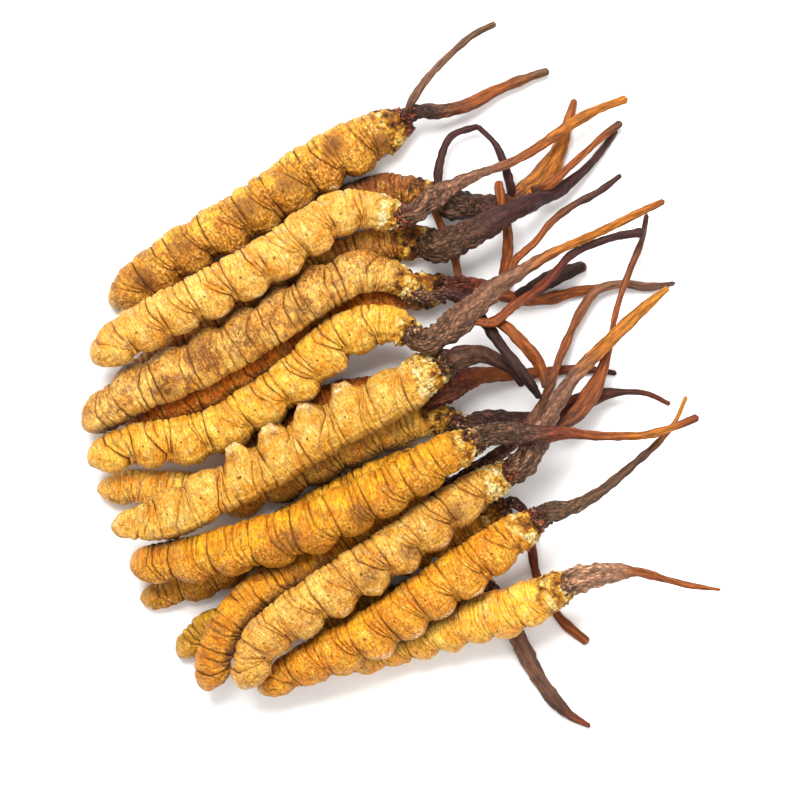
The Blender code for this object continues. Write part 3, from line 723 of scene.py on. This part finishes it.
def stalk(key, blank, spine):
    """One stalk or branch: furrowed, a little flat and twisted, coarse at the root, smooth at the tip."""
    rng = np.random.default_rng(sum(ord(letter) for letter in key) * 7)
    turn = np.linspace(0, FULL_TURN, STALK_SIDES, endpoint=False)[None, :]
    along = np.linspace(0, 1, STALK_SPANS + 1)[:, None] * spine.length + 0 * turn
    share = along / spine.length
    tip = end_rounding((spine.length - along) / (0.8 * spine.radii[-1]))
    root = end_rounding((along + 0.1) / (1.2 * spine.radii[0]))
    cap = np.sqrt(np.clip(tip * root, 0.0004, 1))
    twist = rng.uniform(-TWIST, TWIST)
    facing = turn + twist * along + math.pi / 2 + rng.uniform(-0.4, 0.4)
    flat = 1 + FLATNESS * np.cos(2 * facing)
    furrow = np.abs(np.sin(2.5 * facing + 0.8 * waves(rng, along, turn, 9.0, 1)))
    coarse = smoothstep(COARSE_SHARE, 0.0, share) * (0.3 if "branch" in key else 1)
    lumps = (0.035 + 0.06 * coarse) * waves(rng, along, turn, 1.6, 4)
    lumps = lumps + 0.06 * waves(rng, along, 0 * turn, 3.5, 1)
    radius = spine.smooth_radius_at(along) * (flat - FURROW_DEPTH * furrow + lumps) * cap
    fields = {
        "straight": straightened(along, turn, radius),
        "share": share,
        "coarse": coarse,
        "furrow": furrow,
    }
    grid = spine.lay(along, turn + 0 * along, radius)
    name = "stalk_" + key
    piece = shaped(blank, "bark_" + key, grid, spine, fields)
    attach(piece, "root")
    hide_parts(name)
    return piece


def grain_blank():
    """One crumb of dried stroma, twenty faces, to be copied by the dozen."""
    bpy.ops.object.select_all(action="DESELECT")
    bpy.ops.mesh.primitive_ico_sphere_add(subdivisions=1, radius=1)
    return bpy.context.object


def head_grains(key, blank, husk, root):
    """Crumbs that crowd round the joint of head and stalk, one mesh to a head."""
    rng = np.random.default_rng(ord(key) * 3)
    corners = np.array([corner.co for corner in blank.data.vertices])
    faces = np.array([list(face.vertices) for face in blank.data.polygons])
    points = []
    tones = []
    for _ in range(GRAINS):
        past_end = rng.triangular(*GRAIN_SPREAD)
        on_head = past_end < -0.2
        spine, at = (husk, husk.length + past_end) if on_head else (root, ROOT_REACH + 0.4 + past_end)
        size = rng.uniform(*GRAIN_SIZES)
        out = spine.radius_at(at) * (0.93 if on_head else 1.0) - GRAIN_SINK * size
        place = spine.lay(np.array([at]), np.array([rng.uniform(0, FULL_TURN)]), np.array([out]))[0]
        rough = corners * rng.uniform(0.7, 1.2, (len(corners), 1)) * rng.uniform(0.7, 1.2, 3) * size
        # the grain stays clear of the table
        place[2] = max(place[2], 1.5 * size)
        points.append(place + rough)
        tones.append(np.full(len(corners), rng.beta(1.1, 2.0)))
    offsets = np.arange(GRAINS)[:, None, None] * len(corners)
    mesh = bpy.data.meshes.new("grains_" + key)
    faces = (faces[None] + offsets).reshape(-1, 3)
    mesh.from_pydata((np.concatenate(points) * MM).tolist(), [], faces.tolist())
    mesh.attributes.new("tone", "FLOAT", "POINT").data.foreach_set("value", np.concatenate(tones))
    mesh.shade_flat()
    mesh.update()
    piece = bpy.data.objects.new("grains_" + key, mesh)
    bpy.context.collection.objects.link(piece)
    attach(piece, "root")
    return piece


def new_material(name):
    """A material with its node tree and its shader."""
    material = bpy.data.materials.new(name)
    material.use_nodes = True
    return material, material.node_tree, material.node_tree.nodes["Principled BSDF"]


def husk_patterns(tree):
    """What a husk's looks are made from: the numbers on its points, and patterns that follow its skin."""
    names = ("relief", "stain", "sole", "neck", "tone", "tail", "head", "segment", "from_belly", "painted_gap_shade")
    made = {name: add(tree, "ShaderNodeAttribute", output="Fac", attribute_name=name) for name in names}
    straight = add(tree, "ShaderNodeAttribute", output="Vector", attribute_name="straight")
    for name, scale, detail, rough in (
            ("patches", PATCHES, 4, 0.6),
            ("mottle", MOTTLE, 5, 0.7),
            ("grit", GRIT, 5, 0.7)):
        made[name] = add(tree, "ShaderNodeTexNoise",
                         {"Vector": straight, "Scale": scale, "Detail": detail, "Roughness": rough})
    squeezed = add(tree, "ShaderNodeMapping", {"Vector": straight, "Scale": WRINKLES})
    wrinkles = add(tree, "ShaderNodeTexNoise", {"Vector": squeezed, "Scale": 1.0, "Detail": 4})
    made["wrinkle"] = add(tree, "ShaderNodeValToRGB", {"Fac": wrinkles},
                          [(0.45, 0.0), (0.49, 1.0), (0.51, 1.0), (0.55, 0.0)])
    made["crumbs"] = add(tree, "ShaderNodeTexVoronoi", {"Vector": straight, "Scale": FINE_CRUMBS})
    return made


def pore_distance(tree, made):
    """How far a point is from its segment's breathing pore, one on each side."""
    within = add(tree, "ShaderNodeMath", {0: made["segment"]}, operation="FRACT")
    drift = add(tree, "ShaderNodeMath", {0: made["patches"], 1: 1.6, 2: -0.8}, operation="MULTIPLY_ADD")
    ahead = add(tree, "ShaderNodeMath", {0: within, 1: 5.2, 2: -1.35}, operation="MULTIPLY_ADD")
    ahead = add(tree, "ShaderNodeMath", {0: ahead, 1: drift})
    aside = add(tree, "ShaderNodeMath", {0: made["from_belly"], 1: 3.0, 2: -4.6}, operation="MULTIPLY_ADD")
    gone = add(tree, "ShaderNodeCombineXYZ", {"X": ahead, "Y": aside})
    return add(tree, "ShaderNodeVectorMath", {0: gone}, output="Value", operation="LENGTH")


def husk_amounts(tree, made, brownness, rusty):
    """How strongly each thing shows on a husk, from 0 to 1."""
    blotched = add(tree, "ShaderNodeValToRGB", {"Fac": made["mottle"]}, [(0.46, 0.0), (0.62, brownness)])
    low = add(tree, "ShaderNodeMath", {0: made["mottle"], 1: -4.0, 2: made["from_belly"]},
              operation="MULTIPLY_ADD")
    shows = {}
    # these are broken up by a pattern
    for name, amount, pattern, stops in (
            ("brown", blotched, made["patches"], [(0.36, 0.3), (0.58, 1.0)]),
            ("stained", made["stain"], made["grit"], [(0.44, 0.2), (0.54, 1.0)]),
            ("neck", made["neck"], made["relief"], [(0.15, 0.0), (0.45, 1.0)]),
            ("rim", made["sole"], made["grit"], [(0.44, 0.0), (0.54, 1.0)]),
            # painted shade near other husks, broken up by grit
            ("painted_gap_shade", made["painted_gap_shade"], made["grit"], [(0.35, 1.0), (0.65, 0.8)]),
            ("tail", made["tail"], made["grit"], [(0.42, 1.0), (0.60, 0.6)])):
        broken = add(tree, "ShaderNodeValToRGB", {"Fac": pattern}, stops)
        shows[name] = add(tree, "ShaderNodeMath", {0: amount, 1: broken}, operation="MULTIPLY")
    # these show at part of their strength
    for name, strength in (("head", 0.85), ("wrinkle", 0.4)):
        shows[name] = add(tree, "ShaderNodeMath", {0: made[name], 1: strength}, operation="MULTIPLY")
    # and these fade between two levels of a pattern or a field
    for name, source, stops in (
            ("pale", made["patches"], [(0.38, 1.0), (0.62, 0.0)]),
            ("umber", made["mottle"], [(0.34, 0.45), (0.46, 0.0)]),
            ("cream", made["mottle"], [(0.52, 0.0), (0.62, 0.7)]),
            ("rust", low, [(0.0, rusty), (0.4, 0.0)]),
            ("stain", shows["stained"], [(0.15, 0.0), (0.6, 0.8)]),
            # the grooves and their deepest cracks darken: partly the husk's own darker folds, partly painted
            # shade in the creases
            ("groove", made["relief"], [(0.10, 0.95), (0.28, 0.65), (0.50, 0.22), (0.78, 0.0)]),
            ("crack", made["relief"], [(0.0, 0.9), (0.16, 0.0)]),
            ("pore", pore_distance(tree, made), [(0.10, 0.85), (0.2, 0.0)])):
        shows[name] = add(tree, "ShaderNodeValToRGB", {"Fac": source}, stops)
    return shows


def husk_colours(tree, made):
    """The colours of a husk that vary in themselves."""
    speck = add(tree, "ShaderNodeMath", {0: made["crumbs"].node.outputs["Color"], 1: 0.36, 2: -0.18},
                operation="MULTIPLY_ADD")
    crumb_tone = add(tree, "ShaderNodeMath", {0: made["tone"], 1: speck})
    colours = {}
    for name, source, stops in (
            ("grains", made["grit"], [(0.36, 0.82), (0.5, 1.0), (0.64, 1.15)]),
            ("rust", made["grit"], [(0.40, "6A300C"), (0.48, "A4600F"), (0.55, "C98422"), (0.64, "EBC27C")]),
            ("chalk", made["mottle"], [(0.40, "6A3A12"), (0.48, "C8903A"), (0.54, "F0D898"),
                                       (0.62, "7A4A1C")]),
            ("head", made["grit"], [(0.42, "1E0C08"), (0.50, "58240C"), (0.57, "96560F"), (0.66, "D8A850")]),
            ("crumb", crumb_tone, [(0.0, "2A120C"), (0.25, "7A4410"), (0.45, "C2811C"), (0.65, "E6B248"),
                                   (0.95, "FAE2A0")]),
            ("crumb_edge", made["crumbs"], [(0.25, 1.08), (0.45, 0.98), (0.7, 0.6)])):
        colours[name] = add(tree, "ShaderNodeValToRGB", {"Fac": source}, stops)
    colours["neck"] = add(tree, "ShaderNodeMix", {0: 1.0, 6: colours["crumb"], 7: colours["crumb_edge"]},
                          output=2, data_type="RGBA", blend_type="MULTIPLY")
    return colours


def husk_bumps(tree, made):
    """A husk's finest relief, with depths in metres: grit, wrinkles, dents, and crumbs on the neck."""
    normal = add(tree, "ShaderNodeBump", {"Height": made["grit"], "Strength": 0.6, "Distance": 0.0002})
    normal = add(tree, "ShaderNodeBump", {"Height": made["wrinkle"], "Strength": 0.6, "Distance": 0.00015,
                                          "Normal": normal}, invert=True)
    normal = add(tree, "ShaderNodeBump", {"Height": made["mottle"], "Strength": 0.9, "Distance": 0.0006,
                                          "Normal": normal})
    return add(tree, "ShaderNodeBump", {"Height": made["crumbs"], "Strength": made["neck"],
                                        "Distance": 0.00022, "Normal": normal}, invert=True)


def husk_finish(key):
    """Dried larva husk: dull waxy skin, creamy where it stands proud, rusty low down; its grooves take the
    fold colour with painted shade, and painted shade darkens it near other husks.
    """
    pale, warm, deep, brownness = HUSKS[key]
    material, tree, shader = new_material("dried_husk_" + key)
    made = husk_patterns(tree)
    shows = husk_amounts(tree, made, brownness, build_of(key)["rusty"])
    colours = husk_colours(tree, made)
    # the husk's own hue, lighter and darker
    cream = [part**0.6 for part in linear(pale)]
    umber = [0.5 * part for part in linear(warm)[:3]] + [1]
    skin = linear(warm)
    for blend, amount, colour in (
            ("MIX", shows["pale"], linear(pale)),
            ("MIX", shows["umber"], umber),
            ("MIX", shows["cream"], cream),
            ("MULTIPLY", 1.0, colours["grains"]),
            ("MIX", shows["brown"], linear("7C4212")),
            ("MIX", shows["rust"], colours["rust"]),
            ("MIX", shows["stain"], linear("6A3812")),
            ("MIX", shows["wrinkle"], linear(deep)),
            # grooves and cracks: the fold colour, with painted shade in the creases
            ("MIX", shows["groove"], linear(deep)),
            ("MIX", shows["crack"], linear("260E06")),
            ("MIX", shows["pore"], linear("4A280E")),
            ("MIX", shows["rim"], linear("F6E2B4")),
            ("MIX", shows["tail"], colours["chalk"]),
            ("MIX", shows["neck"], colours["neck"]),
            ("MIX", shows["head"], colours["head"]),
            # painted shade where the husk lies against other husks
            ("MIX", shows["painted_gap_shade"], linear("22100C"))):
        skin = add(tree, "ShaderNodeMix", {0: amount, 6: skin, 7: colour}, output=2, data_type="RGBA",
                   blend_type=blend)
    tree.links.new(skin, shader.inputs["Base Color"])
    # a skin gone dull, that still shines a little
    shader.inputs["Roughness"].default_value = 0.5
    shader.inputs["IOR"].default_value = 1.45
    shader.inputs["Specular IOR Level"].default_value = 0.3
    tree.links.new(husk_bumps(tree, made), shader.inputs["Normal"])
    return material


def stalk_finish(key):
    """Dried fungus stalk: dull fibrous bark, streaked along its length, grainy and greyish at the root."""
    material, tree, shader = new_material("stalk_bark_" + key)
    field = {name: add(tree, "ShaderNodeAttribute", output="Fac", attribute_name=name)
             for name in ("share", "furrow", "coarse")}
    straight = add(tree, "ShaderNodeAttribute", output="Vector", attribute_name="straight")
    fibred, patched, flecked = (
        add(tree, "ShaderNodeMapping", {"Vector": straight, "Scale": scale})
        for scale in (FIBRES, BARK_PATCHES, BARK_FLECKS))
    fibres, patches = (
        add(tree, "ShaderNodeTexNoise", {"Vector": stretched, "Scale": 1.0, "Detail": 4, "Roughness": rough})
        for stretched, rough in ((fibred, 0.65), (patched, 0.6)))
    flecks = add(tree, "ShaderNodeTexVoronoi", {"Vector": flecked, "Scale": 1.0})
    moved = add(tree, "ShaderNodeMath", {0: fibres, 1: 0.22, 2: -0.11}, operation="MULTIPLY_ADD")
    moved = add(tree, "ShaderNodeMath", {0: field["share"], 1: moved})
    bark = add(tree, "ShaderNodeValToRGB", {"Fac": moved}, STALKS[key])
    # each fleck is the bark's colour, from 0.3 to 3.6 times as light, and they thin out away from the root
    lightness = add(tree, "ShaderNodeMapRange", {"Value": flecks.node.outputs["Color"], "From Min": 0.25,
                                                 "From Max": 0.85, "To Min": 0.3, "To Max": 3.6})
    edge = add(tree, "ShaderNodeValToRGB", {"Fac": flecks}, [(0.25, 1.0), (0.7, 0.3)])
    lightness = add(tree, "ShaderNodeMath", {0: lightness, 1: edge}, operation="MULTIPLY")
    crust = add(tree, "ShaderNodeMix", {0: 1.0, 6: bark, 7: lightness}, output=2, data_type="RGBA",
                blend_type="MULTIPLY")
    patchy = add(tree, "ShaderNodeValToRGB", {"Fac": patches}, [(0.3, 0.45), (0.6, 0.95)])
    crusty = add(tree, "ShaderNodeMath", {0: field["coarse"], 1: patchy}, operation="MULTIPLY")
    shaded = add(tree, "ShaderNodeMath", {0: field["furrow"], 1: -0.5, 2: 1.0}, operation="MULTIPLY_ADD")
    fibrous = add(tree, "ShaderNodeMath", {0: field["coarse"], 1: -0.8, 2: 1.0}, operation="MULTIPLY_ADD")
    streaks = add(tree, "ShaderNodeValToRGB", {"Fac": fibres}, [(0.34, 0.45), (0.5, 1.0), (0.66, 1.6)])
    for blend, amount, colour in (
            ("MIX", crusty, crust),
            ("MULTIPLY", fibrous, streaks),
            ("MULTIPLY", 1.0, shaded)):
        bark = add(tree, "ShaderNodeMix", {0: amount, 6: bark, 7: colour}, output=2, data_type="RGBA",
                   blend_type=blend)
    tree.links.new(bark, shader.inputs["Base Color"])
    # dry fibre, duller than the husks
    shader.inputs["Roughness"].default_value = 0.6
    shader.inputs["IOR"].default_value = 1.45
    shader.inputs["Specular IOR Level"].default_value = 0.25
    # depths in metres
    normal = add(tree, "ShaderNodeBump", {"Height": flecks, "Strength": field["coarse"], "Distance": 0.0005},
                 invert=True)
    normal = add(tree, "ShaderNodeBump", {"Height": fibres, "Strength": fibrous, "Distance": 0.0002,
                                          "Normal": normal})
    tree.links.new(normal, shader.inputs["Normal"])
    return material


def crumb_finish(name, stops):
    """Dried crumbs of stroma: a little waxy, each of one tone, and gritty."""
    material, tree, shader = new_material(name)
    tone = add(tree, "ShaderNodeAttribute", output="Fac", attribute_name="tone")
    place = add(tree, "ShaderNodeTexCoord", output="Object")
    grit = add(tree, "ShaderNodeTexNoise", {"Vector": place, "Scale": GRAIN_GRIT, "Detail": 3})
    toned = add(tree, "ShaderNodeValToRGB", {"Fac": tone}, stops)
    gritty = add(tree, "ShaderNodeValToRGB", {"Fac": grit}, [(0.35, 0.6), (0.65, 1.15)])
    colour = add(tree, "ShaderNodeMix", {0: 1.0, 6: toned, 7: gritty}, output=2, data_type="RGBA",
                 blend_type="MULTIPLY")
    tree.links.new(colour, shader.inputs["Base Color"])
    shader.inputs["Roughness"].default_value = 0.5
    return material


def table_finish():
    """Matt white acrylic: evenly bright, with the faintest clouds."""
    material, tree, shader = new_material("matt_white_acrylic")
    place = add(tree, "ShaderNodeTexCoord", output="Object")
    clouds = add(tree, "ShaderNodeTexNoise", {"Vector": place, "Scale": TABLE_CLOUDS, "Detail": 3})
    white = add(tree, "ShaderNodeValToRGB", {"Fac": clouds}, [(0.3, 0.90), (0.7, 0.92)])
    tree.links.new(white, shader.inputs["Base Color"])
    shader.inputs["Roughness"].default_value = 0.9
    return material


def studio():
    """White table, a large soft light from the far side and above, and a long lens straight above."""
    scene = bpy.context.scene
    scene.view_settings.view_transform = "Standard"
    bpy.ops.mesh.primitive_plane_add(size=TABLE_SIZE, location=(0, 0, -TABLE_GAP))
    table = bpy.context.object
    table.name = "white_table"
    table.data.materials.append(table_finish())

    scene.world = bpy.data.worlds.new("soft_room")
    scene.world.use_nodes = True
    room = scene.world.node_tree.nodes["Background"]
    room.inputs["Color"].default_value = ROOM_LIGHT
    room.inputs["Strength"].default_value = ROOM_STRENGTH
    for name, (place, width, power) in LAMPS.items():
        light = bpy.data.lights.new(name, "AREA")
        light.size = width
        light.energy = power
        lamp = bpy.data.objects.new(name, light)
        lamp.location = place
        lamp.rotation_euler = (-Vector(place)).to_track_quat("-Z", "Y").to_euler()
        bpy.context.collection.objects.link(lamp)
    camera = bpy.data.cameras.new("camera")
    camera.sensor_width = CAMERA_FILM
    camera.lens = CAMERA_LENS
    camera.clip_start = CAMERA_NEAR
    eye = bpy.data.objects.new("camera", camera)
    eye.location = CAMERA_PLACE
    bpy.context.collection.objects.link(eye)
    scene.camera = eye


studio()

husk_rows = husk_rings()
husk_blank = tube_blank(HUSK_SIDES, len(husk_rows) - 1)
husk_spines = {key: husk_spine("larva_" + key) for key in HUSKS}
for key in HUSKS:
    others = np.concatenate([husk_spines[other][0].beads() for other in HUSKS if other != key])
    husk = larva_husk(key, husk_blank, husk_rows, *husk_spines[key], others)
    husk.data.materials.append(husk_finish(key))

# a stalk comes before the branches that grow from it
stalk_blank = tube_blank(STALK_SIDES, STALK_SPANS)
stalk_spines = {}
for key in sorted(STALKS, key=len):
    grown_from = stalk_spines[key[0]] if "branch" in key else husk_spines[key][0]
    stalk_spines[key] = stalk_spine(key, grown_from)
    stalk(key, stalk_blank, stalk_spines[key]).data.materials.append(stalk_finish(key))

grain = grain_blank()
brown_crumbs = crumb_finish("stroma_crumbs", BROWN_CRUMBS)
red_crumbs = crumb_finish("red_stroma_crumbs", RED_CRUMBS)
for key in HUSKS:
    grains = head_grains(key, grain, husk_spines[key][0], stalk_spines[key])
    grains.data.materials.append(red_crumbs if key in RED_HEADS else brown_crumbs)

for blank in (husk_blank, stalk_blank, grain):
    bpy.data.objects.remove(blank, do_unlink=True)
